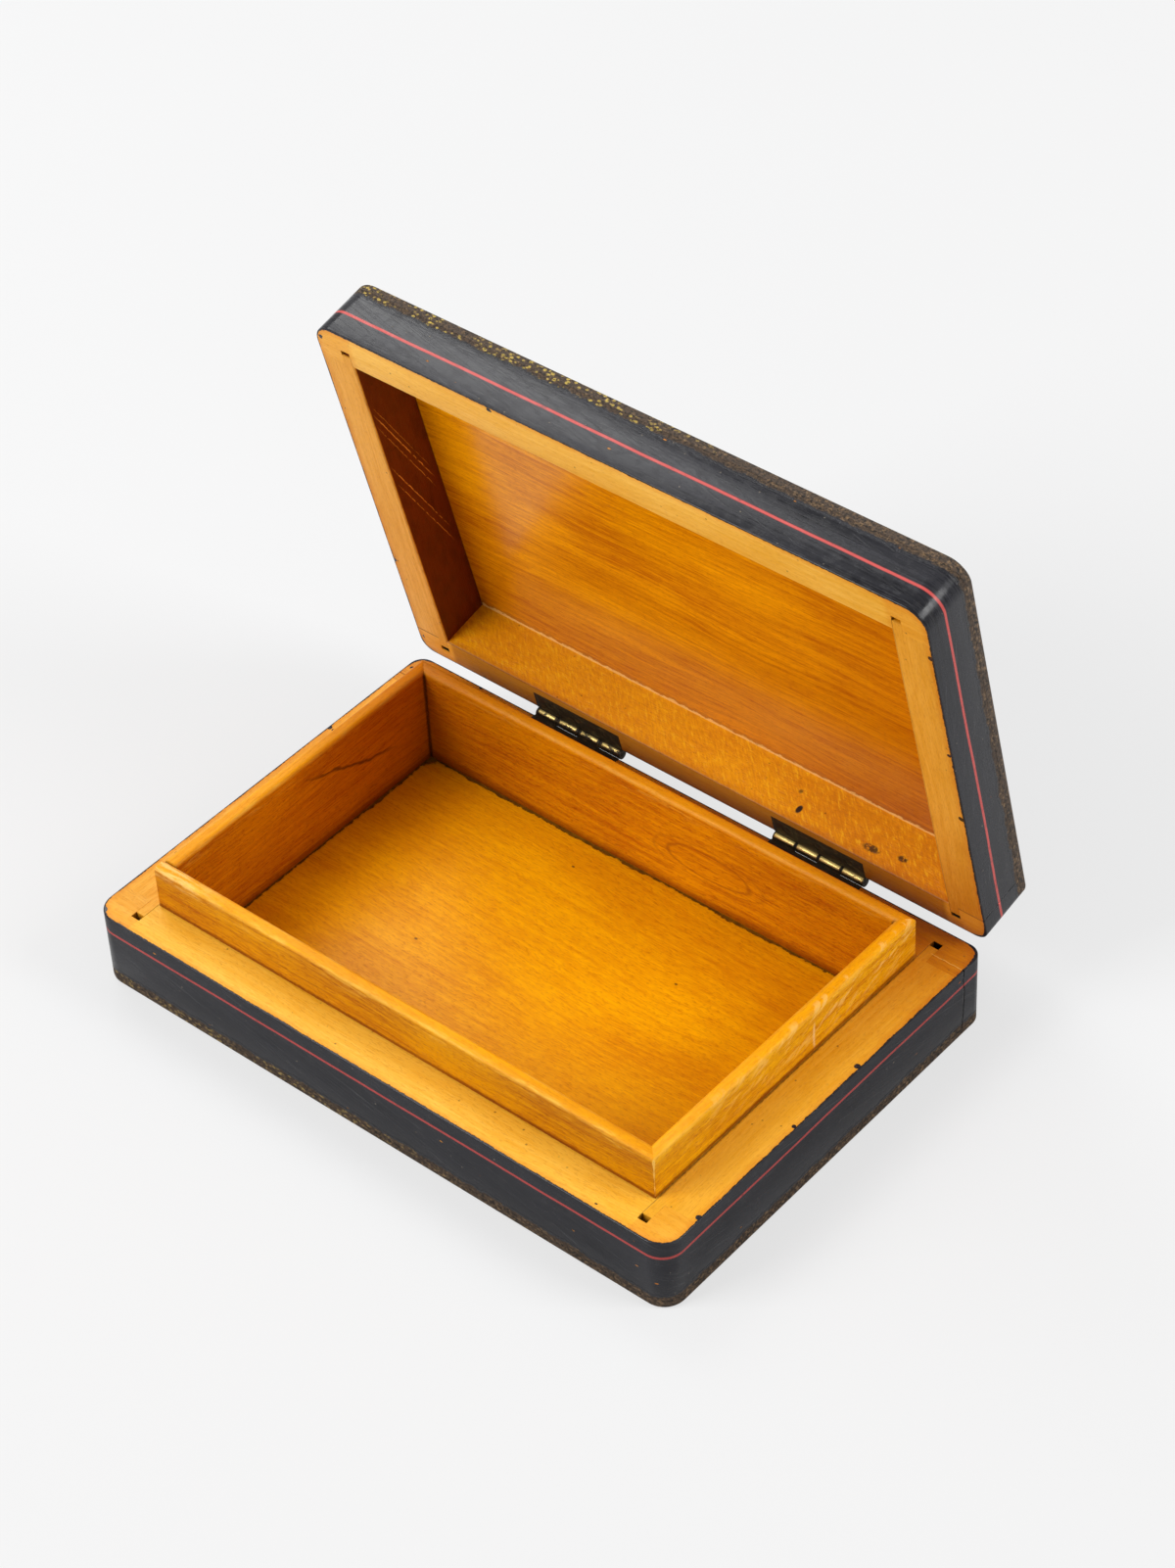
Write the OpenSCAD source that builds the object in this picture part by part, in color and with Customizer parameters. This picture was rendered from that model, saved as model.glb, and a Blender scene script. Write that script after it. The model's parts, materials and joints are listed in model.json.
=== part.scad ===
// Small wooden case with a hinged lid, shown with the lid standing open.
// Lengths in millimetres, Z up, origin at the centre of the underside.
// The front faces -Y and the hinges are at the back.

/* [Case] */
// outside length, left to right
box_l = 180; // [150:1:240]
// outside depth, front to back
box_w = 120; // [110:1:160]
// radius of the two upright front corners
front_corner_r = 6; // [3:0.5:9]
// radius of the two upright rear corners
rear_corner_r = 4; // [3:0.5:9]
// height of the lower part's rim above the table
base_h = 22; // [20:0.5:40]

/* [Rails] */
// thickness of the lower front rail
front_t = 11; // [10.5:0.1:12]
// thickness of the lower rear rail
rear_t = 11.4; // [11:0.1:14]
// thickness of the lower left and right rails
side_t = 12; // [11.5:0.1:14]
// thickness of the lid's front rail
lid_front_t = 10.5; // [9.5:0.1:10.8]
// thickness of the lid's rear rail
lid_rear_t = 8.4; // [7.8:0.1:10]
// thickness of the lid's left and right rails
lid_side_t = 10.6; // [9.5:0.1:11]
// thickness of the tongue at each end of a side rail
tongue_t = 2.6; // [2:0.1:4]
// how far a tongue is set in from its rail's inner face
tongue_in = 0.4; // [0.2:0.1:1]
// length of a tongue in the lower part
tongue_l = 5; // [4:0.1:5.8]
// depth of the grooves in the lower part
groove_d = 6.9; // [6.2:0.1:8]
// length of a tongue in the lid
lid_tongue_l = 3; // [2:0.1:3.6]
// depth of the grooves in the lid
lid_groove_d = 4.6; // [3.8:0.1:5.5]

/* [Boards] */
// thickness of the outer boards, top and bottom
board_t = 2.6; // [1.6:0.1:3]
// rounding of the boards' outer edges
board_round = 1.2; // [0.4:0.1:1.3]
// height of the floor's upper face above the table
floor_z = 5.8; // [5:0.1:9]

/* [Liner] */
// thickness of the liner strips
liner_t = 3.7; // [3:0.1:4.5]
// how far the liner stands above the lower rim
liner_rise = 12.7; // [6:0.1:13.5]
// rounding of the liner's upper edges
liner_round = 1.2; // [0.5:0.1:1.4]

/* [Lid] */
// height of the lid from its rim to its top
lid_h = 16.9; // [16.5:0.1:24]
// how far the lid stands over the lower part at the front
lid_over = 2.4; // [0.5:0.1:3]
// angle between the closed lid and the lid as drawn
lid_angle = 77; // [0:1:180]
// space between the two rims when the lid is shut
rim_gap = 0.3; // [0.2:0.1:0.6]

/* [Hinges] */
// length of each hinge
hinge_l = 28; // [24:0.5:34]
// distance of the left hinge's middle from the case's middle
hinge_left_x = 37; // [30:0.5:50]
// distance of the right hinge's middle from the case's middle
hinge_right_x = 39.5; // [30:0.5:50]
// how far each leaf reaches in from the rear face
leaf_w = 6; // [5:0.1:7.5]
// thickness of the leaves
leaf_t = 0.8; // [0.6:0.1:0.9]
// outer radius of the barrel
barrel_r = 1.3; // [1.2:0.05:1.3]
// radius of the hinge pin
pin_r = 0.6; // [0.5:0.05:0.7]
// distance of the hinge line behind the rear faces
axis_back = 1.6; // [1.6:0.05:2]
// radius of a nail head
nail_head_r = 1.1; // [0.8:0.05:1.3]
// radius of a nail shank
nail_r = 0.45; // [0.3:0.05:0.6]
// length of a nail
nail_l = 6.5; // [4:0.5:9]

/* [Hidden] */
$fn = 64;
// knuckles in a barrel, half of them on each leaf
knuckles = 4;
// space between neighbouring knuckles
knuckle_gap = 0.2;
// pin to moving knuckle, on the radius
running_gap = 0.05;
// barrel to the other leaf's edge
sweep_gap = 0.3;
// side play of a tongue in its groove and of a leaf in its recess
fit_gap = 0.05;
// small overrun that keeps cuts clean
over = 1;
// thickness of a nail head
nail_head_t = 0.5;
// distance of the nails from the leaf's ends
nail_end = 4.5;
// distance of the nails from the rear face
nail_back = 3.2;
axis_y = box_w / 2 + axis_back;
axis_z = base_h + rim_gap / 2;
lid_rim_z = base_h + rim_gap;
lid_top_z = lid_rim_z + lid_h;
lid_w = box_w + lid_over;
lid_mid_y = -lid_over / 2;
hinge_mids = [-hinge_left_x, hinge_right_x];
knuckle_pitch = hinge_l / knuckles;
hole_r = pin_r + running_gap;

// rectangle with rounded corners, centred; rf and rr are the front and rear corners' radii
module round_rect(l, w, rf, rr) {
  union() {
    translate([0, (rf - rr) / 2])
      square([l, w - rf - rr], center = true);
    translate([0, -w / 4])
      square([l - 2 * rf, w / 2], center = true);
    translate([0, w / 4])
      square([l - 2 * rr, w / 2], center = true);
    for (sx = [-1, 1]) {
      translate([sx * (l / 2 - rf), -w / 2 + rf])
        circle(r = rf);
      translate([sx * (l / 2 - rr), w / 2 - rr])
        circle(r = rr);
    }
  }
}

// outer board lying on z = 0, w from front to back, with its lower edge rounded all round
module edge_board(w) {
  e = min(board_round, board_t / 2);
  l = box_l;
  rf = front_corner_r;
  rr = rear_corner_r;
  union() {
    linear_extrude(height = board_t)
      round_rect(l - 2 * e, w - 2 * e, rf - e, rr - e);
    translate([0, 0, e])
      linear_extrude(height = board_t - e)
        round_rect(l, w, rf, rr);
    translate([-(l / 2 - rf), -(w / 2 - e), e])
      rotate([0, 90, 0])
        cylinder(r = e, h = l - 2 * rf);
    translate([-(l / 2 - rr), w / 2 - e, e])
      rotate([0, 90, 0])
        cylinder(r = e, h = l - 2 * rr);
    for (sx = [-1, 1])
      translate([sx * (l / 2 - e), w / 2 - rr, e])
        rotate([90, 0, 0])
          cylinder(r = e, h = w - rf - rr);
    edge_corner(l / 2 - rr, w / 2 - rr, 0, rr, e);
    edge_corner(-(l / 2 - rr), w / 2 - rr, 90, rr, e);
    edge_corner(-(l / 2 - rf), -(w / 2 - rf), 180, rf, e);
    edge_corner(l / 2 - rf, -(w / 2 - rf), 270, rf, e);
  }
}

// quarter turn of a board's rounded edge about (x, y), starting at the angle from
module edge_corner(x, y, from, r, e) {
  translate([x, y, e])
    rotate([0, 0, from])
      rotate_extrude(angle = 90)
        translate([r - e, 0])
          circle(r = e);
}

// middle of a tongue, from the case's middle, on a side rail of thickness t
function tongue_x(t) = box_l / 2 - t + tongue_in + tongue_t / 2;

// front or rear rail: the full length with two round corners and two grooves
// s is -1 for the front and 1 for the rear; w is the depth of the frame it belongs to,
// t its thickness, st that of the side rails and gd the depth of the grooves
module long_rail(s, w, t, st, gd, z0, z1) {
  difference() {
    translate([0, 0, z0])
      linear_extrude(height = z1 - z0)
        intersection() {
          round_rect(box_l, w, front_corner_r, rear_corner_r);
          translate([0, s * (w / 2 - t / 2)])
            square([box_l, t], center = true);
        }
    for (sx = [-1, 1])
      translate([sx * tongue_x(st), s * (w / 2 - t + gd / 2 - over / 2), (z0 + z1) / 2])
        cube([tongue_t + fit_gap * 2, gd + over, z1 - z0 + 2 * over], center = true);
  }
}

// left or right rail with a tongue of length tl at each end
// s is -1 for the left and 1 for the right; ft and rt are the front and rear rails' thicknesses
module short_rail(s, w, t, ft, rt, tl, z0, z1) {
  y0 = -w / 2 + ft;
  y1 = w / 2 - rt;
  union() {
    translate([s * (box_l / 2 - t / 2), (y0 + y1) / 2, (z0 + z1) / 2])
      cube([t, y1 - y0, z1 - z0], center = true);
    translate([s * tongue_x(t), (y0 + y1) / 2, (z0 + z1) / 2])
      cube([tongue_t, y1 - y0 + 2 * tl, z1 - z0], center = true);
  }
}

// section of a liner strip, its outer face on x = 0 and its body towards +x
module liner_section() {
  h = base_h + liner_rise - floor_z;
  union() {
    square([liner_t, h - liner_round]);
    translate([liner_round, 0])
      square([liner_t - 2 * liner_round, h]);
    translate([liner_round, h - liner_round])
      circle(r = liner_round);
    translate([liner_t - liner_round, h - liner_round])
      circle(r = liner_round);
  }
}

liner_x = box_l / 2 - side_t;
liner_y0 = -box_w / 2 + front_t;
liner_y1 = box_w / 2 - rear_t;

// straight run of liner along Y at the left, from y = a to y = b
module liner_run_left(a, b) {
  translate([-liner_x, b, floor_z])
    rotate([90, 0, 0])
      linear_extrude(height = b - a)
        liner_section();
}

// straight run of liner along X at the front
module liner_run_front() {
  translate([-liner_x, liner_y0, floor_z])
    rotate([90, 0, 90])
      linear_extrude(height = 2 * liner_x)
        liner_section();
}

// upright prism over a plan outline, used to cut mitres
module plan_prism(points) {
  translate([0, 0, floor_z - over])
    linear_extrude(height = base_h + liner_rise)
      polygon(points);
}

// places the lid, drawn shut, at its open angle
module lid_open() {
  translate([0, axis_y, axis_z])
    rotate([-lid_angle, 0, 0])
      translate([0, -axis_y, -axis_z])
        children();
}

// recesses for both leaves, cut from z0 up to z1
module leaf_recesses(z0, z1) {
  for (cx = hinge_mids)
    translate([cx, box_w / 2 - leaf_w / 2 + over / 2, (z0 + z1) / 2])
      cube([hinge_l + 2 * fit_gap, leaf_w + over, z1 - z0], center = true);
}

// positions of the three nails of each leaf
module at_nails(cx) {
  for (i = [-1, 0, 1])
    translate([cx + i * (hinge_l / 2 - nail_end), box_w / 2 - nail_back, 0])
      children();
}

// one leaf with its knuckles; side is 0 for the lower leaf and 1 for the lid's
// z0 is the leaf's lower face
module leaf(cx, side, z0) {
  edge_y = axis_y - barrel_r - sweep_gap;
  y0 = box_w / 2 - leaf_w + fit_gap;
  bore = side == 0 ? pin_r : hole_r;
  difference() {
    union() {
      translate([cx - hinge_l / 2, y0, z0])
        cube([hinge_l, edge_y - y0, leaf_t]);
      for (i = [side : 2 : knuckles - 1])
        translate([cx - hinge_l / 2 + i * knuckle_pitch + knuckle_gap / 2, 0, 0]) {
          translate([0, edge_y - over, z0])
            cube([knuckle_pitch - knuckle_gap, axis_y - edge_y + over, leaf_t]);
          translate([0, axis_y, axis_z])
            rotate([0, 90, 0])
              cylinder(r = barrel_r, h = knuckle_pitch - knuckle_gap);
        }
    }
    translate([cx - hinge_l / 2 - over, axis_y, axis_z])
      rotate([0, 90, 0])
        cylinder(r = bore, h = hinge_l + 2 * over, $fn = 48);
    at_nails(cx)
      translate([0, 0, z0 - over])
        cylinder(r = nail_r, h = leaf_t + 2 * over, $fn = 32);
    at_nails(cx)
      translate([0, 0, side == 0 ? z0 + leaf_t - nail_head_t : z0 - over])
        cylinder(r = nail_head_r, h = nail_head_t + over, $fn = 48);
  }
}

// one pin, drawn along X
module pin(cx) {
  translate([cx - hinge_l / 2, axis_y, axis_z])
    rotate([0, 90, 0])
      cylinder(r = pin_r, h = hinge_l, $fn = 48);
}

// six nails with their flat heads at height z; dir is -1 for downward and 1 for upward shanks
module nails(z, dir) {
  for (cx = hinge_mids)
    at_nails(cx)
      translate([0, 0, z])
        union() {
          translate([0, 0, dir > 0 ? 0 : -nail_head_t])
            cylinder(r = nail_head_r, h = nail_head_t, $fn = 48);
          translate([0, 0, dir > 0 ? 0 : -nail_l])
            cylinder(r = nail_r, h = nail_l, $fn = 32);
        }
}

module nail_holes(z, dir) {
  for (cx = hinge_mids)
    at_nails(cx)
      translate([0, 0, dir > 0 ? z - over : z - nail_l])
        cylinder(r = nail_r, h = nail_l + over, $fn = 32);
}

module bottom_board() {
  color([0.20, 0.14, 0.09])
    edge_board(box_w);
}

module floor_panel() {
  y0 = -box_w / 2 + front_t;
  y1 = box_w / 2 - rear_t;
  color([0.85, 0.50, 0.10])
    translate([-box_l / 2 + side_t, y0, board_t])
      cube([box_l - 2 * side_t, y1 - y0, floor_z - board_t]);
}

module base_front_rail() {
  color([0.10, 0.10, 0.11])
    long_rail(-1, box_w, front_t, side_t, groove_d, board_t, base_h);
}

module base_rear_rail() {
  color([0.10, 0.10, 0.11])
    difference() {
      long_rail(1, box_w, rear_t, side_t, groove_d, board_t, base_h);
      leaf_recesses(base_h - leaf_t, base_h + over);
      nail_holes(base_h, -1);
    }
}

module base_left_rail() {
  color([0.12, 0.10, 0.10])
    short_rail(-1, box_w, side_t, front_t, rear_t, tongue_l, board_t, base_h);
}

module base_right_rail() {
  color([0.12, 0.10, 0.10])
    short_rail(1, box_w, side_t, front_t, rear_t, tongue_l, board_t, base_h);
}

module liner_front() {
  color([0.80, 0.48, 0.14])
    intersection() {
      liner_run_front();
      plan_prism([
        [-liner_x - over, liner_y0 - over],
        [liner_x + over, liner_y0 - over],
        [liner_x - liner_t, liner_y0 + liner_t],
        [-liner_x - over, liner_y0 + liner_t]
      ]);
    }
}

module liner_rear() {
  color([0.78, 0.46, 0.12])
    intersection() {
      translate([0, liner_y0 + liner_y1, 0])
        mirror([0, 1, 0])
          liner_run_front();
      plan_prism([
        [-liner_x - over, liner_y1 + over],
        [liner_x + over, liner_y1 + over],
        [liner_x - liner_t, liner_y1 - liner_t],
        [-liner_x + liner_t, liner_y1 - liner_t]
      ]);
    }
}

module liner_left() {
  color([0.74, 0.42, 0.12])
    intersection() {
      liner_run_left(liner_y0 + liner_t, liner_y1);
      plan_prism([
        [-liner_x - over, liner_y1 + over],
        [-liner_x - over, liner_y0],
        [-liner_x + liner_t, liner_y0],
        [-liner_x + liner_t, liner_y1 - liner_t]
      ]);
    }
}

module liner_right() {
  color([0.80, 0.50, 0.16])
    intersection() {
      mirror([1, 0, 0])
        liner_run_left(liner_y0, liner_y1);
      plan_prism([
        [liner_x + over, liner_y0 - over],
        [liner_x + over, liner_y1 + over],
        [liner_x - liner_t, liner_y1 - liner_t],
        [liner_x - liner_t, liner_y0 + liner_t]
      ]);
    }
}

module lid_front_rail() {
  color([0.10, 0.10, 0.11])
    lid_open()
      translate([0, lid_mid_y, 0])
        long_rail(-1, lid_w, lid_front_t, lid_side_t, lid_groove_d, lid_rim_z, lid_top_z - board_t);
}

module lid_rear_rail() {
  color([0.10, 0.10, 0.11])
    lid_open()
      difference() {
        translate([0, lid_mid_y, 0])
          long_rail(1, lid_w, lid_rear_t, lid_side_t, lid_groove_d, lid_rim_z, lid_top_z - board_t);
        leaf_recesses(lid_rim_z - over, lid_rim_z + leaf_t);
        nail_holes(lid_rim_z, 1);
      }
}

// side rail of the lid; s is -1 for the left and 1 for the right
module lid_side_rail(s) {
  lid_open()
    translate([0, lid_mid_y, 0])
      short_rail(s, lid_w, lid_side_t, lid_front_t, lid_rear_t, lid_tongue_l, lid_rim_z, lid_top_z - board_t);
}

module lid_left_rail() {
  color([0.12, 0.10, 0.10])
    lid_side_rail(-1);
}

module lid_right_rail() {
  color([0.12, 0.10, 0.10])
    lid_side_rail(1);
}

module lid_top_board() {
  color([0.16, 0.12, 0.09])
    lid_open()
      translate([0, lid_mid_y, lid_top_z])
        mirror([0, 0, 1])
          edge_board(lid_w);
}

module hinge_left_base_leaf() {
  color([0.72, 0.56, 0.26])
    leaf(hinge_mids[0], 0, base_h - leaf_t);
}

module hinge_left_lid_leaf() {
  color([0.72, 0.56, 0.26])
    lid_open()
      leaf(hinge_mids[0], 1, lid_rim_z);
}

module hinge_left_pin() {
  color([0.60, 0.47, 0.22])
    pin(hinge_mids[0]);
}

module hinge_right_base_leaf() {
  color([0.72, 0.56, 0.26])
    leaf(hinge_mids[1], 0, base_h - leaf_t);
}

module hinge_right_lid_leaf() {
  color([0.72, 0.56, 0.26])
    lid_open()
      leaf(hinge_mids[1], 1, lid_rim_z);
}

module hinge_right_pin() {
  color([0.60, 0.47, 0.22])
    pin(hinge_mids[1]);
}

module base_hinge_nails() {
  color([0.66, 0.52, 0.25])
    nails(base_h, -1);
}

module lid_hinge_nails() {
  color([0.66, 0.52, 0.25])
    lid_open()
      nails(lid_rim_z, 1);
}

bottom_board();
floor_panel();
base_front_rail();
base_rear_rail();
base_left_rail();
base_right_rail();
liner_front();
liner_rear();
liner_left();
liner_right();
lid_front_rail();
lid_rear_rail();
lid_left_rail();
lid_right_rail();
lid_top_board();
hinge_left_base_leaf();
hinge_left_lid_leaf();
hinge_left_pin();
hinge_right_base_leaf();
hinge_right_lid_leaf();
hinge_right_pin();
base_hinge_nails();
lid_hinge_nails();
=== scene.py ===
"""A small lacquered wooden case with a hinged lid that stands open.

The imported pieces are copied, joined into whole faces, softened along their
edges and given their wood, lacquer and brass. Sizes in the patterns are
millimetres, measured with the case shut.
"""
import json
import math
from functools import reduce

import bmesh
import bpy
from mathutils import Matrix, Vector


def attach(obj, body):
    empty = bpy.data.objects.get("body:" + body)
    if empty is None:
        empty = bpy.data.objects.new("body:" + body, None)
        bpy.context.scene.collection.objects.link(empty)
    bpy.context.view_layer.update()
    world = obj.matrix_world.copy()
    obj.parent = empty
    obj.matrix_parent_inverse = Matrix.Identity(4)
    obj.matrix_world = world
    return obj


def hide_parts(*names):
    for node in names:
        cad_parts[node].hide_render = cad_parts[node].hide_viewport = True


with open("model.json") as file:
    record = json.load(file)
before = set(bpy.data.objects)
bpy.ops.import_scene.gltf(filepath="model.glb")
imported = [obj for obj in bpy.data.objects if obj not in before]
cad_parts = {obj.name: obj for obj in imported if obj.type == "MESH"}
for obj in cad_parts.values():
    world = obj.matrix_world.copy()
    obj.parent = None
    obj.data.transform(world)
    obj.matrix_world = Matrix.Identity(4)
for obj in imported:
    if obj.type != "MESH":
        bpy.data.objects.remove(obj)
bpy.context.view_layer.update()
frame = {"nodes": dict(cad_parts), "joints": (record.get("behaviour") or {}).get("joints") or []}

PACKED = frame["nodes"]
HINGE = frame["joints"][0]

# Sizes of the case, in millimetres
MM = 0.001
HALF_LENGTH = 90.0
FRONT_CORNER, REAR_CORNER = 6.0, 4.0
BOARD = 2.6
BASE_FRONT, REAR = -60.0, 60.0
LID_FRONT = -62.4
BASE_RIM, LID_RIM = 22.0, 22.3
LID_TOP = 39.2
LID_CEILING = LID_TOP - BOARD
FLOOR = 5.8
LINER_TOP = 34.7
LINER_FRONT, LINER_REAR, LINER_SIDE = -49.0, 48.6, 78.0
LINER_THICK = 3.7
LID_INNER_FRONT, LID_INNER_REAR, LID_INNER_SIDE = -51.9, 51.6, 79.4
HINGE_BARREL, KNUCKLE = 1.3, 7.0
LEFT_HINGE, RIGHT_HINGE = -37.0, 39.5
# Height of the red line round each part, and its width
BASE_STRIPE, LID_STRIPE = 17.2, 28.6
STRIPE_WIDTH = 0.75
# Where the rear rails meet the side rails and the lacquer has cracked
BASE_CRACK, LID_CRACK = 51.6, 51.0
# Small holes in the rims: from a side rail's inner face to the middle, and half the width
HOLE_ASIDE, HOLE_HALF = 1.7, 1.35
# How far from the middle, front and back, the joint lines beside the side rails end
JOINT_LINE_END = 55.2
# Where the boards' worn edges end on the rails, and the raised lip beside them
BASE_EDGE_TOP, LID_EDGE_FOOT = 4.1, 35.4
BASE_LIP, LID_LIP = 4.6, 35.0
# Pattern of each board's worn edge: its seed and its amount of gilt
BASE_EDGE, LID_EDGE = (101.0, 0.35), (95.0, 1.0)

# Marks, each by its middle: across the length, then back on a floor or up on a wall
FLOOR_SPECKS = ((-18.4, 35.5), (28.2, 18.9), (-32.6, -7.8))
# Middle of the painted shade in the floor's rear left corner
FLOOR_SHADE_CORNER = (-73.5, 44.0)
KNOT = (18.0, 19.0)
NAIL_HOLE = (31.7, 26.3)
PIN_HOLE = (28.8, 30.9)
# Long scars: their middle, how much they are drawn out, and half their height
SCARS = ((54.0, 25.9, 0.42, 1.0), (62.4, 27.2, 0.6, 0.8))
# Slanting scratches: place along the rail, half the width, and softness
SCRATCHES = (
    (-26.0, 0.30, 0.25),
    (-21.5, 0.16, 0.2),
    (-29.5, 0.12, 0.2),
    (-7.0, 0.28, 0.25),
    (-1.5, 0.18, 0.2),
)

# Rounding of the pieces' edges, in millimetres
RIM_ROUND, BOARD_EDGE_ROUND, LID_INNER_ROUND = 0.32, 0.14, 0.25
STRIP_END_ROUND, STRIP_ROUND = 1.5, 0.10
FLOOR_ROUND, LEAF_ROUND, PIN_ROUND, NAIL_ROUND = 0.25, 0.08, 0.12, 0.10
# Angles in degrees: edges sharper than the first may be rounded, and faces that
# meet at less than the second are shaded as one
SHARP_EDGE, SMOOTH_EDGE = 30.0, 38.0
# How near a point has to lie to a face to count as on it
CLOSE = 0.1

# Share of the ground's tone that the camera sees evenly lit; the rest keeps the shadow
STEADY_GROUND = 0.55
STEADY_STRENGTH = 1.17
WORLD_STRENGTH = 0.48
# Soft lights: name, place, what it faces, width and depth in metres, and watts
LIGHTS = (
    ("left_softbox", (-0.55, -0.98, 0.84), (0.0, 0.0, 0.04), 0.7, 0.7, 13.0),
    ("right_softbox", (0.98, 0.38, 0.80), (0.02, 0.0, 0.06), 0.5, 0.5, 7.0),
    ("rear_panel", (-0.74, 0.34, 0.95), (-0.05, 0.03, 0.10), 0.5, 0.6, 4.0),
)

# The lid turns about this line, and the matrix takes a point of the open lid to
# where it lies with the case shut
HINGE_POINT = Vector(HINGE["pos_m"])
OPEN_ANGLE = math.radians(-HINGE["range_deg"][0])
SHUT = (
    Matrix.Translation(HINGE_POINT)
    @ Matrix.Rotation(OPEN_ANGLE, 4, "X")
    @ Matrix.Translation(-HINGE_POINT)
)

# Where the camera stands: angles in degrees, lengths in metres, and the lens in
# millimetres on a sensor 36 wide
VIEW = {
    "azimuth": 42.24,
    "elevation": 42.15,
    "roll": -3.33,
    "target": (0.0, 0.0, 0.04),
    "distance": 0.97991,
    "aside": 0.01500,
    "above": 0.02100,
    "focal": 94.68,
    "sensor": 36.0,
}


# ---- Node sheets: sums written as sums ----

class Value:
    """A number that changes over a surface."""

    def __init__(self, sheet, socket):
        self.sheet = sheet
        self.socket = socket

    def __add__(self, other):
        return self.sheet.math("ADD", self, other)

    def __sub__(self, other):
        return self.sheet.math("SUBTRACT", self, other)

    def __rsub__(self, other):
        return self.sheet.math("SUBTRACT", other, self)

    def __mul__(self, other):
        return self.sheet.math("MULTIPLY", self, other)

    def __truediv__(self, other):
        return self.sheet.math("DIVIDE", self, other)

    def __pow__(self, other):
        return self.sheet.math("POWER", self, other)

    def __neg__(self):
        return self.sheet.math("MULTIPLY", self, -1.0)

    def __abs__(self):
        return self.sheet.math("ABSOLUTE", self)

    __radd__ = __add__
    __rmul__ = __mul__

    def least(self, other):
        return self.sheet.math("MINIMUM", self, other)

    def most(self, other):
        return self.sheet.math("MAXIMUM", self, other)

    def above(self, edge, soft):
        """Rises smoothly from 0 to 1 as the value passes the edge."""
        fade = self.sheet.node(
            "ShaderNodeMapRange",
            {"interpolation_type": "SMOOTHSTEP"},
            {"Value": self, "From Min": edge - soft, "From Max": edge + soft},
        )
        return Value(self.sheet, fade.outputs["Result"])

    def below(self, edge, soft):
        return 1.0 - self.above(edge, soft)

    def near(self, centre, reach, soft):
        """1 within reach of the centre."""
        return abs(self - centre).below(reach, soft)

    def between(self, low, high, soft):
        return self.above(low, soft) * self.below(high, soft)


class Sheet:
    """The node sheet of one material."""

    def __init__(self, name):
        self.material = bpy.data.materials.new(name)
        self.material.use_nodes = True
        self.nodes = self.material.node_tree.nodes
        self.links = self.material.node_tree.links
        self.nodes.clear()

    def node(self, kind, settings=None, sockets=None):
        made = self.nodes.new(kind)
        for key, value in (settings or {}).items():
            setattr(made, key, value)
        for key, value in (sockets or {}).items():
            self.join(value, made.inputs[key])
        return made

    def join(self, value, socket):
        if isinstance(value, Value):
            self.links.new(value.socket, socket)
        elif isinstance(value, bpy.types.NodeSocket):
            self.links.new(value, socket)
        else:
            socket.default_value = value

    def math(self, operation, *terms):
        made = self.node(
            "ShaderNodeMath", {"operation": operation}, dict(enumerate(terms))
        )
        return Value(self, made.outputs[0])

    def vector(self, x, y, z):
        made = self.node("ShaderNodeCombineXYZ", None, {0: x, 1: y, 2: z})
        return made.outputs[0]

    def place(self, lid):
        """Millimetres from the middle of the underside, with the case shut."""
        spot = self.node("ShaderNodeTexCoord").outputs["Object"]
        if lid:
            turn = self.node(
                "ShaderNodeMapping",
                {"vector_type": "POINT"},
                {
                    "Vector": spot,
                    "Location": SHUT.to_translation(),
                    "Rotation": SHUT.to_euler(),
                },
            )
            spot = turn.outputs[0]
        parts = self.node("ShaderNodeSeparateXYZ", None, {0: spot})
        return [Value(self, socket) * (1 / MM) for socket in parts.outputs]

    def spot(self, x, y, z, seed):
        """A point of a pattern, carried off by its seed so that no two patterns agree."""
        away = (seed * 7.31, seed * 3.17 + 40.0, seed * 5.93 - 20.0)
        moved = self.node(
            "ShaderNodeVectorMath", {"operation": "ADD"}, {0: self.vector(x, y, z), 1: away}
        )
        return moved.outputs[0]

    def noise(self, x, y, z, detail, rough, seed):
        """Cloudy pattern from 0 to 1, one cloud to a unit."""
        made = self.node(
            "ShaderNodeTexNoise",
            None,
            {
                "Vector": self.spot(x, y, z, seed),
                "Scale": 1.0,
                "Detail": detail,
                "Roughness": rough,
            },
        )
        return Value(self, made.outputs[0])

    def spots(self, x, y, z, seed):
        """Distance to the nearest of scattered points, about one point to a unit."""
        made = self.node(
            "ShaderNodeTexVoronoi",
            None,
            {"Vector": self.spot(x, y, z, seed), "Scale": 1.0},
        )
        return Value(self, made.outputs["Distance"])

    def mix(self, amount, first, second, blend="MIX"):
        made = self.node(
            "ShaderNodeMix",
            {"data_type": "RGBA", "blend_type": blend, "clamp_factor": True},
        )
        for value, socket in ((amount, 0), (first, 6), (second, 7)):
            if isinstance(value, tuple):
                value = (*value, 1.0)
            self.join(value, made.inputs[socket])
        return made.outputs[2]

    def finish(self, colour, roughness, height, metallic=0.0, gloss=None):
        """The shader of the sheet: height in millimetres, gloss the varnish's strength."""
        bump = self.node(
            "ShaderNodeBump", None, {"Height": height, "Distance": MM, "Strength": 1.0}
        )
        shader = self.node(
            "ShaderNodeBsdfPrincipled",
            None,
            {
                "Base Color": colour,
                "Roughness": roughness,
                "Metallic": metallic,
                "Normal": bump.outputs[0],
            },
        )
        if gloss is not None:
            shader.inputs["IOR"].default_value = 1.5
            shader.inputs["Specular IOR Level"].default_value = gloss
        out = self.node("ShaderNodeOutputMaterial")
        self.links.new(shader.outputs[0], out.inputs[0])
        return self.material


# ---- Tones ----

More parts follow.
